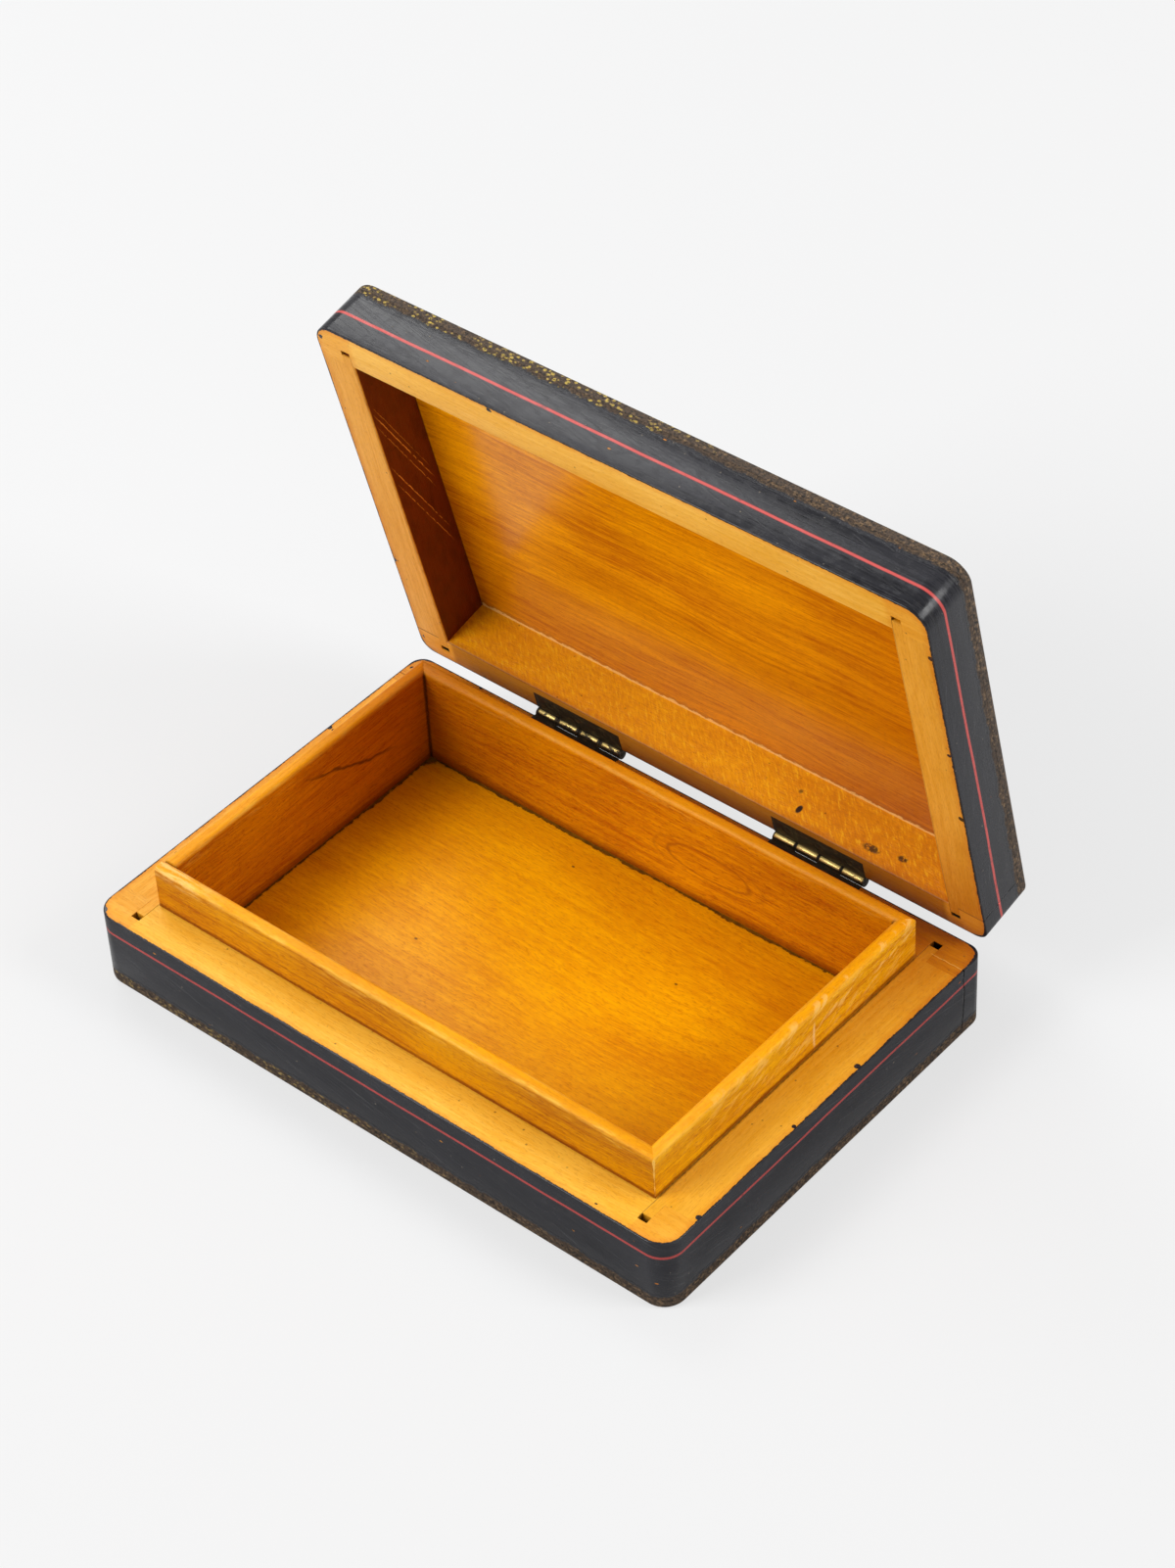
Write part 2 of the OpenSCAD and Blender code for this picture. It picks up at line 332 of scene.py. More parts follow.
# Woods: light and dark
HONEY = ((0.94, 0.52, 0.050), (0.84, 0.385, 0.010))
TAN = ((0.93, 0.465, 0.040), (0.78, 0.310, 0.003))
PALE = ((0.94, 0.530, 0.090), (0.80, 0.375, 0.024))
RIGHT_RIM = ((0.90, 0.465, 0.040), (0.80, 0.345, 0.004))
REAR_RIM = ((0.80, 0.350, 0.015), (0.62, 0.220, 0.002))
LID_SIDE = ((0.84, 0.400, 0.050), (0.68, 0.270, 0.008))
STRIP = ((0.82, 0.340, 0.001), (0.50, 0.135, 0.001))
# Right strip: paler rubbed wood, lightened partly as painted light from the right
PALE_AND_LIT_STRIP = ((0.92, 0.440, 0.001), (0.62, 0.200, 0.001))
FLOOR_WOOD = ((0.98, 0.460, 0.001), (0.72, 0.245, 0.001))
LID_BOARD_WOOD = ((0.95, 0.395, 0.001), (0.56, 0.150, 0.001))
# Tints of the rims
NO_CHANGE = (1.0, 1.0, 1.0)
TO_TAN = (0.94, 0.82, 0.72)
TO_ORANGE = (0.93, 0.80, 0.55)
# Stains of the inner and outer faces: tint and amount
DEEP_RED = ((0.17, 0.020, 0.04), 0.97)
BROWN = ((0.60, 0.45, 0.32), 0.6)
AMBER = ((0.90, 0.66, 0.01), 0.8)
STRONG_AMBER = ((0.90, 0.66, 0.01), 0.9)
GOLDEN = ((1.0, 0.78, 0.01), 1.0)
NONE = (NO_CHANGE, 0.0)
# Painted shade on the left strip's inner face, not a stain
SHADED_WALL = ((0.80, 0.64, 0.50), 0.7)
DUSKY = ((0.95, 0.90, 0.60), 1.0)
OLIVE = ((0.84, 0.84, 0.30), 0.9)
# Lacquer and what shows on it
BLACK, SHEEN = (0.003, 0.003, 0.004), (0.030, 0.030, 0.038)
GRIME, SPECK, SCRATCH = (0.040, 0.038, 0.037), (0.24, 0.20, 0.15), (0.12, 0.12, 0.12)
CRACK = (0.002, 0.002, 0.002)
BASE_RED, LID_RED = (0.42, 0.050, 0.045), (0.62, 0.085, 0.075)
# Worn edges of the boards
EDGE_DARK, EDGE_BROWN = (0.006, 0.005, 0.004), (0.105, 0.066, 0.040)
BRONZE, GILT = (0.30, 0.185, 0.090), (0.70, 0.50, 0.10)
# Brass, from its tarnish to its tops, worn and painted as a highlight
TARNISH_DARK, TARNISH_LIGHT = (0.012, 0.009, 0.005), (0.060, 0.042, 0.018)
DULL_BRASS, BRIGHT_BRASS = (0.16, 0.105, 0.035), (0.88, 0.68, 0.24)
# The ground, and the even tone that the camera sees in it
PAPER_LIGHT, PAPER_DARK = (0.620, 0.620, 0.623), (0.590, 0.592, 0.595)
PAPER_EVEN = (0.930, 0.930, 0.930, 1.0)


# ---- Patterns ----

def outline_depth(x, y, front):
    """How far a spot lies outside the case's rounded plan; negative inside."""
    corner = FRONT_CORNER
    aside = abs(x) - (HALF_LENGTH - corner)
    away = abs(y - (front + REAR) / 2) - ((REAR - front) / 2 - corner)
    out_x, out_y = aside.most(0.0), away.most(0.0)
    reach = (out_x * out_x + out_y * out_y) ** 0.5
    rounded = reach + aside.most(away).least(0.0) - corner
    squarer = (aside - corner).most(away - corner)
    behind = y.above(0.0, 1.0)
    # The rear corners are rounded less
    share = REAR_CORNER / FRONT_CORNER
    tighter = share * rounded + (1.0 - share) * squarer
    return rounded + behind * (tighter - rounded)


def stain(sheet, colour, amount, tint):
    """Thin see-through stain laid over wood where amount is 1."""
    return sheet.mix(amount, colour, tint, "MULTIPLY")


def blot(across, along, reach, soft):
    """Small round or oval mark where both distances are near 0."""
    return ((across * across + along * along) ** 0.5).below(reach, soft)


def timber(sheet, along, across, deep, tones, seed, lines, flecks, clouds, curl):
    """Straight-grained varnished wood: its colour, its height and how dark it is.

    Long growth lines, short dark flecks, broad clouds of varnish and soft curl
    across the grain, each in its own amount.
    """
    drift = sheet.noise(along * 0.012, across * 0.03, deep * 0.03, 2.0, 0.5, seed)
    bent = across + drift * 9.0
    line = sheet.noise(along * 0.016, bent * 0.80, deep * 0.80, 4.0, 0.65, seed + 3.1)
    fibre = sheet.noise(along * 0.16, bent * 2.8, deep * 2.8, 3.0, 0.65, seed + 5.7)
    waves = sheet.noise(
        along * 0.24 + bent * 0.30, bent * 1.05 - along * 0.08, deep * 0.7, 3.0, 0.62, seed + 9.4
    )
    fleck = sheet.noise(along * 0.75, bent * 3.1, deep * 3.1, 1.0, 0.5, seed + 8.3)
    fleck = fleck.above(0.61, 0.06)
    cloud = sheet.noise(along * 0.024, across * 0.05, deep * 0.05, 3.0, 0.55, seed + 11.9)
    shade = (line - 0.5) * (lines * 3.0) + (fibre - 0.5) * (0.7 + lines * 1.5)
    shade = shade + (waves - 0.5) * (curl * 1.8) + (cloud - 0.5) * (clouds * 2.4) + 0.42
    colour = sheet.mix(shade, *tones)
    colour = stain(sheet, colour, fleck * flecks, (0.62, 0.40, 0.20))
    height = fibre * -0.040 - fleck * 0.024 + waves * 0.06 + cloud * 0.05
    return colour, height, shade


def lacquer(sheet, x, y, z, seed, streaks):
    """Old black lacquer with brushed streaks: its colour, roughness and height."""
    run = x + y
    brushed = sheet.noise(run * 0.030, z * 2.6, (x - y) * 0.02, 4.0, 0.62, seed)
    hazy = sheet.noise(x * 0.05, y * 0.05, z * 0.12, 3.0, 0.55, seed + 2.3)
    grime = sheet.noise(x * 0.35, y * 0.35, z * 0.5, 4.0, 0.65, seed + 3.9)
    speck = sheet.spots(x * 0.30, y * 0.30, z * 0.30, seed + 4.1).below(0.055, 0.02)
    speck = speck * grime.above(0.48, 0.05)
    scratch = sheet.noise(
        run * 0.045 + z * 0.25, z * 0.8 + run * 0.18, 0.0, 2.0, 0.4, seed + 7.7
    )
    scratch = scratch.near(0.5, 0.005, 0.005)
    dull = hazy * 0.6 + grime * 0.3 + (brushed - 0.5) * (streaks * 1.6)
    colour = sheet.mix(dull, BLACK, SHEEN)
    colour = sheet.mix(grime.above(0.60, 0.10) * 0.25, colour, GRIME)
    colour = sheet.mix(speck * 0.8, colour, SPECK)
    colour = sheet.mix(scratch * 0.25, colour, SCRATCH)
    rough = 0.05 + hazy * 0.14 + (brushed - 0.40).most(0.0) * (streaks * 0.6)
    rough = rough + grime.above(0.52, 0.12) * 0.12
    height = brushed * (streaks * 0.022) + hazy * 0.12 - scratch * 0.01 + speck * 0.03
    return colour, rough, height


def mottled_edge(sheet, x, y, z, seed, gilt):
    """Worn edge of a board: dark granules, bronze and, by the amount of gilt, gold."""
    grain = sheet.noise(x * 1.3, y * 1.3, z * 1.8, 4.0, 0.75, seed)
    blotch = sheet.noise(x * 0.10, y * 0.10, z * 0.3, 3.0, 0.6, seed + 1.7)
    fleck = sheet.spots(x * 0.75, y * 0.75, z * 1.0, seed + 6.1)
    bronze = fleck.below(0.45, 0.16) * grain.above(0.50, 0.08) * blotch.above(0.40, 0.14)
    gold = fleck.below(0.36, 0.10) * grain.above(0.44, 0.05) * blotch.above(0.50, 0.05)
    # Gold is left on the left half only
    gold = gold * x.below(12.0, 22.0) * gilt
    colour = sheet.mix(grain.above(0.48, 0.14), EDGE_DARK, EDGE_BROWN)
    colour = sheet.mix(bronze * 0.75, colour, BRONZE)
    colour = sheet.mix(gold, colour, GILT)
    rough = 0.55 - bronze * 0.15 - gold * 0.2
    height = grain * 0.34 + bronze * 0.08
    return colour, rough, height


def rail_finish(name, lid, runs_long, seed, tones, inner, corner_tint, marks):
    """A frame rail: black lacquer outside, bare pale rim, stained inner face.

    runs_long is true for the front and rear rails, whose grain follows the length.
    inner is the stain of the inner face, and corner_tint tones the ends of a long
    rail's rim, beside the side rails. marks adds what one rail alone has.
    """
    sheet = Sheet(name)
    x, y, z = sheet.place(lid)
    front, rim = (LID_FRONT, LID_RIM) if lid else (BASE_FRONT, BASE_RIM)
    along, across = (x, y) if runs_long else (y, x)
    wood, wood_height, shade = timber(
        sheet, along, across, z, tones, seed, lines=0.55, flecks=0.25, clouds=0.70, curl=0.30
    )

    outside = outline_depth(x, y, front)
    from_rim = abs(z - rim)
    fine = sheet.noise(x * 1.1, y * 1.1, z * 1.1, 4.0, 0.7, 20.0)
    broad = sheet.noise(x * 0.16, y * 0.16, z * 0.16, 3.0, 0.6, 23.0)
    if runs_long:
        beside = (abs(x) + fine * 0.4).above(78.8, 1.2 if lid else 0.15)
        wood = stain(sheet, wood, beside, corner_tint)
    # Deeper colour along the outer edge, and painted shade towards the rear right
    outer_edge = outside.above(-1.3, 1.2) * (0.25 + broad * 0.45)
    wood = stain(sheet, wood, outer_edge, (0.78, 0.46, 0.18))
    rear_right_shade = (x * 0.35 + y + broad * 26.0).above(78.0, 34.0)
    wood = stain(sheet, wood, rear_right_shade * 0.85, (0.66, 0.44, 0.10))
    dots = sheet.spots(x * 0.28, y * 0.28, z * 0.28, seed + 25.0).below(0.075, 0.03)
    wood = sheet.mix(dots * broad.above(0.5, 0.06) * 0.65, wood, (0.17, 0.065, 0.012))
    inward = from_rim.above(0.35, 0.2)
    wood = stain(sheet, wood, inward * inner[1], inner[0])
    if marks is not None:
        wood = marks(sheet, wood, x, y, z)
    # Fine dark lines at the joints
    inner_side = LID_INNER_SIDE if lid else LINER_SIDE
    inner_front = LID_INNER_FRONT if lid else LINER_FRONT
    inner_rear = LID_INNER_REAR if lid else BASE_CRACK
    seam = y.near(inner_rear, 0.10, 0.12)
    seam = seam * (abs(x) if lid else -x).above(inner_side + 3.0, 0.3)
    upright_seam = abs(x).near(inner_side + 0.35, 0.05, 0.12)
    upright_seam = upright_seam * (abs(y) - JOINT_LINE_END).below(0.0, 0.3)
    seam = seam.most(upright_seam * 0.8)
    if not lid:
        # Glue and painted shade in the angle below the liner
        angle = (abs(x) - inner_side).most(inner_front - y).most(y - LINER_REAR)
        angle = (angle - fine * 0.7).below(0.10, 0.22)
        seam = seam.most(angle * abs(y).below(48.5, 1.5))
    broken = sheet.noise(x * 0.6, y * 0.6, z * 0.6, 2.0, 0.5, 29.0)
    wood = sheet.mix(seam * (0.40 + broken * 0.6), wood, (0.09, 0.030, 0.003))
    if not lid:
        pale_line = (y + broken * 0.5).near(inner_rear + 0.25, 0.08, 0.12)
        pale_line = pale_line * x.above(inner_side + 2.5, 0.3)
        wood = sheet.mix(pale_line * 0.7, wood, (1.0, 0.60, 0.14))
    if runs_long:
        # Dirt and painted shade inside the small holes in the rims
        hole = abs(x).near(inner_side + HOLE_ASIDE, HOLE_HALF, 0.1)
        hole = hole * from_rim.above(0.2, 0.15) * outside.below(-1.5, 0.3)
        wood = sheet.mix(hole, wood, (0.006, 0.004, 0.003))

    # Edge of the lacquer, with small nicks
    nick = sheet.spots(x * 0.15, y * 0.15, 0.0, 27.0).below(0.12, 0.03)
    painted = outside + (fine - 0.5) * 0.75 + (broad - 0.5) * 0.55 + nick * 1.3
    painted = painted.above(-0.46, 0.08)
    chip = sheet.spots(x * 0.10, y * 0.10, z * 0.25, 31.0).below(0.050, 0.012)
    painted = painted * (1.0 - chip * broad.above(0.45, 0.05) * 0.8)

    lacquer_seed, streaks = (60.0, 1.0) if lid else (40.0, 0.25)
    black, black_rough, black_height = lacquer(sheet, x, y, z, lacquer_seed, streaks)
    wander = sheet.noise(z * 0.22, x * 0.02, y * 0.02, 2.0, 0.5, 44.0)
    crack = (y + (wander - 0.5) * 1.6).near(LID_CRACK if lid else BASE_CRACK, 0.20, 0.15)
    crack = crack * abs(x).above(HALF_LENGTH - 1.0, 0.3)
    black = sheet.mix(crack, black, CRACK)

    wobble = sheet.noise(x * 0.03, y * 0.03, 0.0, 3.0, 0.5, 50.0)
    faded = sheet.noise(x * 0.30, y * 0.30, z * 0.3, 3.0, 0.6, 53.0)
    stripe_level, red = (LID_STRIPE, LID_RED) if lid else (BASE_STRIPE, BASE_RED)
    stripe = (z + (wobble - 0.5) * 0.7).near(stripe_level, STRIPE_WIDTH / 2, 0.14)
    stripe = stripe * (0.55 + faded.above(0.34, 0.10) * 0.45)
    black = sheet.mix(stripe * 0.95, black, red)

    # The boards' worn edges run a little over the rails
    edge, edge_rough, edge_height = mottled_edge(sheet, x, y, z, *(LID_EDGE if lid else BASE_EDGE))
    level = z + (fine - 0.5) * 1.6 + (broad - 0.5) * 2.4
    bare_edge = level.above(LID_EDGE_FOOT, 0.30) if lid else level.below(BASE_EDGE_TOP, 0.25)
    lip = level.near(LID_LIP if lid else BASE_LIP, 0.25, 0.3)
    black = sheet.mix(bare_edge, black, edge)

    colour = sheet.mix(painted, wood, black)
    skin_rough = black_rough + stripe * 0.1 + bare_edge * (edge_rough - black_rough)
    skin_height = black_height + 0.05 + stripe * 0.02 - crack * 0.25 + lip * 0.06
    skin_height = skin_height + bare_edge * (edge_height - 0.08)
    wood_rough = 0.42 + shade * 0.10 - inward * 0.10
    roughness = painted * skin_rough + (1.0 - painted) * wood_rough
    height = painted * skin_height + (1.0 - painted) * (wood_height - seam * 0.12)
    # Metal of the crack's near-black colour has no shine
    return sheet.finish(colour, roughness, height, crack * painted, 0.30)


def liner_finish(name, runs_long, seed, tones, inner, outer, rubbed, marks):
    """A liner strip: stained wood with rubbed, paler upper edges and a painted highlight along the
    top.

    inner and outer are the stains of the two broad faces (painted shade on the left
    strip's inner face), rubbed is how pale the upper edge is, and marks adds what
    one strip alone has.
    """
    sheet = Sheet(name)
    x, y, z = sheet.place(False)
    along, across = (x, y) if runs_long else (y, x)
    wood, wood_height, shade = timber(
        sheet, along, z, across, tones, seed, lines=0.65, flecks=0.55, clouds=0.60, curl=0.40
    )
    from_middle = abs(y - (LINER_FRONT + LINER_REAR) / 2)
    half_width = (LINER_REAR - LINER_FRONT) / 2
    # reach is 0 on the outer face and -LINER_THICK on the inner one
    reach = from_middle - half_width if runs_long else abs(x) - LINER_SIDE
    on_outer = reach.above(-0.3, 0.15)
    on_inner = reach.below(-LINER_THICK + 0.3, 0.15)
    wood = stain(sheet, wood, on_inner * inner[1], inner[0])
    wood = stain(sheet, wood, on_outer * outer[1], outer[0])
    fine = sheet.noise(x * 0.9, y * 0.9, z * 0.9, 4.0, 0.7, seed + 58.0)
    # Painted shade low down on the inner face, glue and painted shade in the angle with the rim,
    # and grime in the inner corners
    low = (z - FLOOR - fine * 1.5).below(1.2, 1.8) * on_inner
    wood = stain(sheet, wood, low * 0.8, (0.40, 0.20, 0.09))
    lip = (z - BASE_RIM - fine).between(-0.6, 0.6, 0.5) * on_outer
    wood = stain(sheet, wood, lip * 0.85, (0.34, 0.16, 0.06))
    in_x = (LINER_SIDE - LINER_THICK) - abs(x)
    in_y = half_width - LINER_THICK - from_middle
    nook = (abs(in_x) + abs(in_y) - fine * 0.7).below(0.25, 0.35)
    wood = sheet.mix(nook * 0.75, wood, (0.07, 0.022, 0.004))
    # Painted shade in the open joint at the front left, where the left strip meets the front one
    joint = (y + fine * 1.2).near(LINER_FRONT + LINER_THICK + 0.5, 0.28, 0.2)
    joint = joint * x.below(-LINER_SIDE + LINER_THICK, 0.3)
    wood = sheet.mix(joint * 0.85, wood, (0.05, 0.018, 0.004))
    # Upper edge: rubbed wear and a painted highlight make the arris pale, and a painted golden
    # highlight runs along the top
    worn = sheet.noise(along * 0.10, z * 0.8, across * 0.6, 4.0, 0.65, seed + 60.0)
    crest = z.above(LINER_TOP - 0.8, 0.6)
    brow = z.above(LINER_TOP - 3.0, 1.6) * (1.0 - crest)
    arris = crest * abs(reach + LINER_THICK / 2).above(LINER_THICK / 2 - 1.0, 0.5)
    brow = brow * worn.above(0.58, 0.06) * rubbed * 0.6
    pale = (arris * worn.above(0.54, 0.10) * rubbed).most(brow)
    wood = sheet.mix(pale * 0.75, wood, (1.0, 0.60, 0.08))
    # Painted golden highlight along the top
    wood = sheet.mix(crest * (1.0 - pale) * 0.5, wood, (1.0, 0.42, 0.003))
    wood = marks(sheet, wood, x, y, z)
    scuff = sheet.noise(along * 0.3, z * 1.3, across, 3.0, 0.7, seed + 66.0)
    roughness = 0.30 + shade * 0.10 + pale * 0.15 + crest * 0.12 + scuff.above(0.62, 0.05) * 0.15
    height = wood_height + scuff * 0.06 - pale * 0.03
    return sheet.finish(wood, roughness, height, gloss=0.20)


def floor_finish():
    """The inside floor: bright amber, with painted shade to the left and along the walls."""
    sheet = Sheet("amber_floor")
    x, y, z = sheet.place(False)
    wood, wood_height, shade = timber(
        sheet, x, y, z, FLOOR_WOOD, 71.0, lines=0.45, flecks=0.35, clouds=0.50, curl=0.60
    )
    inner_left = -(LINER_SIDE - LINER_THICK)
    inner_rear = LINER_REAR - LINER_THICK
    inner_front = LINER_FRONT + LINER_THICK
    soft = sheet.noise(x * 0.03, y * 0.05, 0.0, 3.0, 0.5, 73.0)
    # Painted shade on the floor beside the left wall
    left_wall_shade = (x + (soft - 0.5) * 30.0).below(inner_left + 22.0, 24.0) * 0.45
    wood = stain(sheet, wood, left_wall_shade, (0.62, 0.40, 0.20))
    # Dark ragged line of painted shade in the gap below the liner, widest at the rear left corner
    torn = sheet.noise(x * 0.55, y * 0.55, 0.0, 5.0, 0.75, 75.0)
    wide = sheet.noise(x * 0.07, y * 0.07, 0.0, 3.0, 0.6, 77.0)
    from_left = x - inner_left
    from_rear = inner_rear - y
    behind = from_left.least(from_rear) - (torn - 0.28) * 2.2
    behind = behind - (wide - 0.45).most(0.0) * 3.0
    before = (y - inner_front).least(-x - inner_left) - torn * 0.5
    gap_shade = behind.below(0.05, 0.16).most(before.below(0.02, 0.12) * 0.8)
    aside, back = x - FLOOR_SHADE_CORNER[0], y - FLOOR_SHADE_CORNER[1]
    corner = (aside * aside + back * back) ** 0.5
    gap_shade = gap_shade.most((corner - torn * 3.0).below(0.2, 0.4))
    wood = sheet.mix(gap_shade * (0.55 + torn * 0.5), wood, (0.020, 0.008, 0.002))
    for across, back in FLOOR_SPECKS:
        speck = blot(x - across, (y - back) * 1.6, 0.45, 0.25)
        wood = sheet.mix(speck * 0.9, wood, (0.09, 0.025, 0.006))
    roughness = 0.30 + shade * 0.08 + gap_shade * 0.4
    height = wood_height - gap_shade * 0.25
    return sheet.finish(wood, roughness, height, gloss=0.12)


def lid_board_finish():
    """The lid's board: black above with a mottled edge, amber below."""
    sheet = Sheet("lid_board")
    x, y, z = sheet.place(True)
    wood, wood_height, shade = timber(
        sheet, x, y, z, LID_BOARD_WOOD, 81.0, lines=0.70, flecks=0.40, clouds=0.50, curl=0.30
    )
    band = sheet.noise(x * 0.006, y * 0.10, 0.0, 2.0, 0.5, 83.0).above(0.52, 0.12)
    wood = stain(sheet, wood, band * 0.30 * y.above(-30.0, 20.0), (0.66, 0.48, 0.30))
    wood = stain(sheet, wood, x.above(35.0, 45.0) * 0.9, (0.74, 0.58, 0.50))
    wood = stain(sheet, wood, y.above(30.0, 24.0) * 0.9, (0.82, 0.72, 0.50))
    # Flaked glue and varnish where the board meets the rear rail
    torn = sheet.noise(x * 0.30, y * 0.6, 0.0, 5.0, 0.75, 85.0)
    from_rear = LID_INNER_REAR - y
    crust = (from_rear - torn * 3.6 + 1.1).below(0.35, 0.2)
    rubbed = (from_rear - torn * 6.0 + 1.6).below(1.0, 0.3) * (1.0 - crust)
    wood = sheet.mix(crust * 0.85, wood, (0.95, 0.60, 0.18))
    wood = sheet.mix(rubbed * 0.45, wood, (0.34, 0.10, 0.01))
    seam = (LID_INNER_SIDE - abs(x)).least(y - LID_INNER_FRONT).below(0.30, 0.2)
    wood = sheet.mix(seam * 0.8, wood, (0.03, 0.010, 0.004))

    black, black_rough, black_height = lacquer(sheet, x, y, z * 0.1, 91.0, 0.5)
    edge, edge_rough, edge_height = mottled_edge(sheet, x, y, z, *LID_EDGE)
    outside = outline_depth(x, y, LID_FRONT)
    ragged = sheet.noise(x * 0.4, y * 0.4, z * 0.4, 4.0, 0.65, 97.0)
    on_edge = (outside + (ragged - 0.5) * 2.0).above(-2.0, 0.30)
    inside = z.below(LID_CEILING + 0.12, 0.06) * outside.below(-6.0, 0.2)
    colour = sheet.mix(inside, sheet.mix(on_edge, black, edge), wood)
    outer_rough = black_rough + on_edge * (edge_rough - black_rough)
    outer_height = black_height + 0.1 + on_edge * (edge_height - 0.1)
    roughness = inside * (0.13 + shade * 0.07) + (1.0 - inside) * outer_rough
    height = inside * (wood_height * 0.5 + crust * 0.2) + (1.0 - inside) * outer_height
    return sheet.finish(colour, roughness, height, gloss=0.42)


def bottom_board_finish():
    """The board that the case stands on: mottled edge, scuffed dark underside."""
    sheet = Sheet("bottom_board")
    x, y, z = sheet.place(False)
    edge, edge_rough, edge_height = mottled_edge(sheet, x, y, z, *BASE_EDGE)
    black, black_rough, black_height = lacquer(sheet, x, y, z * 0.1, 105.0, 0.5)
    outside = outline_depth(x, y, BASE_FRONT)
    on_edge = outside.above(-3.0, 0.6)
    rub = sheet.noise(x * 0.06, y * 0.5, 0.0, 4.0, 0.65, 107.0).above(0.56, 0.06)
    rub = rub * (1.0 - on_edge)
    colour = sheet.mix(on_edge, black, edge)
    colour = sheet.mix(rub * 0.7, colour, (0.11, 0.065, 0.035))
    roughness = black_rough + 0.15 + rub * 0.2 + on_edge * (edge_rough - 0.3)
    height = black_height + on_edge * (edge_height - 0.05)
    return sheet.finish(colour, roughness, height, gloss=0.32)


def brass_finish(name, middle, tarnish, seed):
    """Old brass, nearly black but for the tops of the knuckles, worn and painted as a highlight.

    middle is where the middle of the hinge lies, and tarnish, from 0 to 1, leaves
    less of the brass bright. The knuckles lie on the hinge line, so a lid leaf is
    measured as it stands and needs no turning.
    """
    sheet = Sheet(name)
    x, y, z = sheet.place(False)
    patch = sheet.noise(x * 0.5, y * 0.9, z * 0.9, 4.0, 0.65, seed)
    fine = sheet.noise(x * 2.0, y * 4.0, z * 4.0, 3.0, 0.6, seed + 3.0)
    drawn = sheet.noise(x * 0.15, y * 7.0, z * 7.0, 2.0, 0.5, seed + 5.0)
    back, up = y - HINGE_POINT.y / MM, z - HINGE_POINT.z / MM
    reach = (back * back + up * up) ** 0.5
    # Crown: the side of each knuckle that faces up and to the front, worn and painted as a
    # highlight
    facing = (up * 0.80 - back * 0.60) / reach.most(0.1)
    crown = facing.above(0.90 + tarnish * 0.05, 0.06) * reach.above(HINGE_BARREL - 0.5, 0.1)
    crown = crown * reach.below(HINGE_BARREL + 0.3, 0.1)
    off = abs(x - middle)
    joint = abs(off - KNUCKLE).least(off).least(abs(off - KNUCKLE * 2.0))
    joint = joint.below(0.42 + tarnish * 0.5, 0.15)
    bright = crown * (1.0 - joint) * (patch + fine * 0.3).above(0.42 + tarnish * 0.24, 0.08)
    colour = sheet.mix(fine, TARNISH_DARK, TARNISH_LIGHT)
    colour = sheet.mix(patch.above(0.60, 0.06) * 0.5, colour, DULL_BRASS)
    colour = sheet.mix(bright, colour, BRIGHT_BRASS)
    roughness = 0.50 - bright * 0.16 + drawn * 0.08
    height = drawn * 0.006 + fine * 0.012 - joint * 0.05
    return sheet.finish(colour, roughness, height, bright * 0.5 + 0.3)


# ---- Marks on single liner strips ----

def knot_figure(sheet, wood, x, y, z):
    """Faint oval grain figure on the rear strip, towards the right, and painted shade towards its
    ends.
    """
    aside, up = x - KNOT[0], (z - KNOT[1]) * 2.3
    ring = ((aside * aside) * 0.55 + up * up) ** 0.5
    wander = sheet.noise(x * 0.08, 0.0, z * 0.12, 3.0, 0.5, 131.0)
    ring = ring + (wander - 0.5) * 5.0
    lines = ring.near(9.5, 0.5, 0.5).most(ring.near(13.0, 0.4, 0.5) * 0.6)
    wood = sheet.mix(lines * 0.55, wood, (0.30, 0.070, 0.003))
    wood = stain(sheet, wood, ring.below(9.0, 2.0) * 0.25, (0.78, 0.66, 0.5))
    # Painted shade towards both ends
    wood = stain(sheet, wood, x.below(-32.0, 36.0) * 0.9, (0.56, 0.42, 0.40))
    return stain(sheet, wood, x.above(38.0, 30.0) * 0.7, (0.72, 0.62, 0.60))


def left_streak(sheet, wood, x, y, z):
    """Dark grain streak on the left strip's inner face, and painted shade towards its rear."""
    wander = sheet.noise(0.0, y * 0.09, z * 0.2, 3.0, 0.6, 133.0)
    run = z + y * 0.35 - 29.0 + (wander - 0.5) * 5.0
    streak = run.near(0.0, 0.45, 0.45) * y.between(2.0, 30.0, 6.0)
    # Painted shade towards the rear
    wood = stain(sheet, wood, y.above(18.0, 30.0) * 0.8, (0.66, 0.46, 0.5))
    return sheet.mix(streak * 0.85, wood, (0.10, 0.022, 0.002))


def front_streak(sheet, wood, x, y, z):
    """Dark hairline grain on the front strip's outer face."""
    wander = sheet.noise(x * 0.05, 0.0, z * 0.4, 3.0, 0.6, 135.0)
    run = z - 26.3 + (wander - 0.5) * 2.0
    streak = run.near(0.0, 0.16, 0.2) * x.between(-42.0, -22.0, 5.0)
    return sheet.mix(streak * 0.6, wood, (0.20, 0.05, 0.006))


def right_rubbing(sheet, wood, x, y, z):
    """Pale raking scratches on the right strip's outer face, and its chipped front arris."""
    slant = sheet.noise(y * 0.16 + z * 0.10, (z - y * 0.40) * 0.8, 0.0, 4.0, 0.6, 137.0)
    # More of them towards the top and the rear
    high = z.above(26.0, 6.0) * y.above(-15.0, 45.0) * x.above(LINER_SIDE - 1.6, 0.6)
    wood = sheet.mix(slant.above(0.57, 0.05) * high * 0.7, wood, (0.98, 0.58, 0.14))
    scar = (y - 9.3 + (slant - 0.5) * 1.5).near(0.0, 0.30, 0.3)
    scar = scar * z.between(23.5, 30.5, 1.2)
    wood = sheet.mix(scar * 0.7, wood, (0.98, 0.66, 0.30))
    return chipped_arris(sheet, wood, x, y, z)


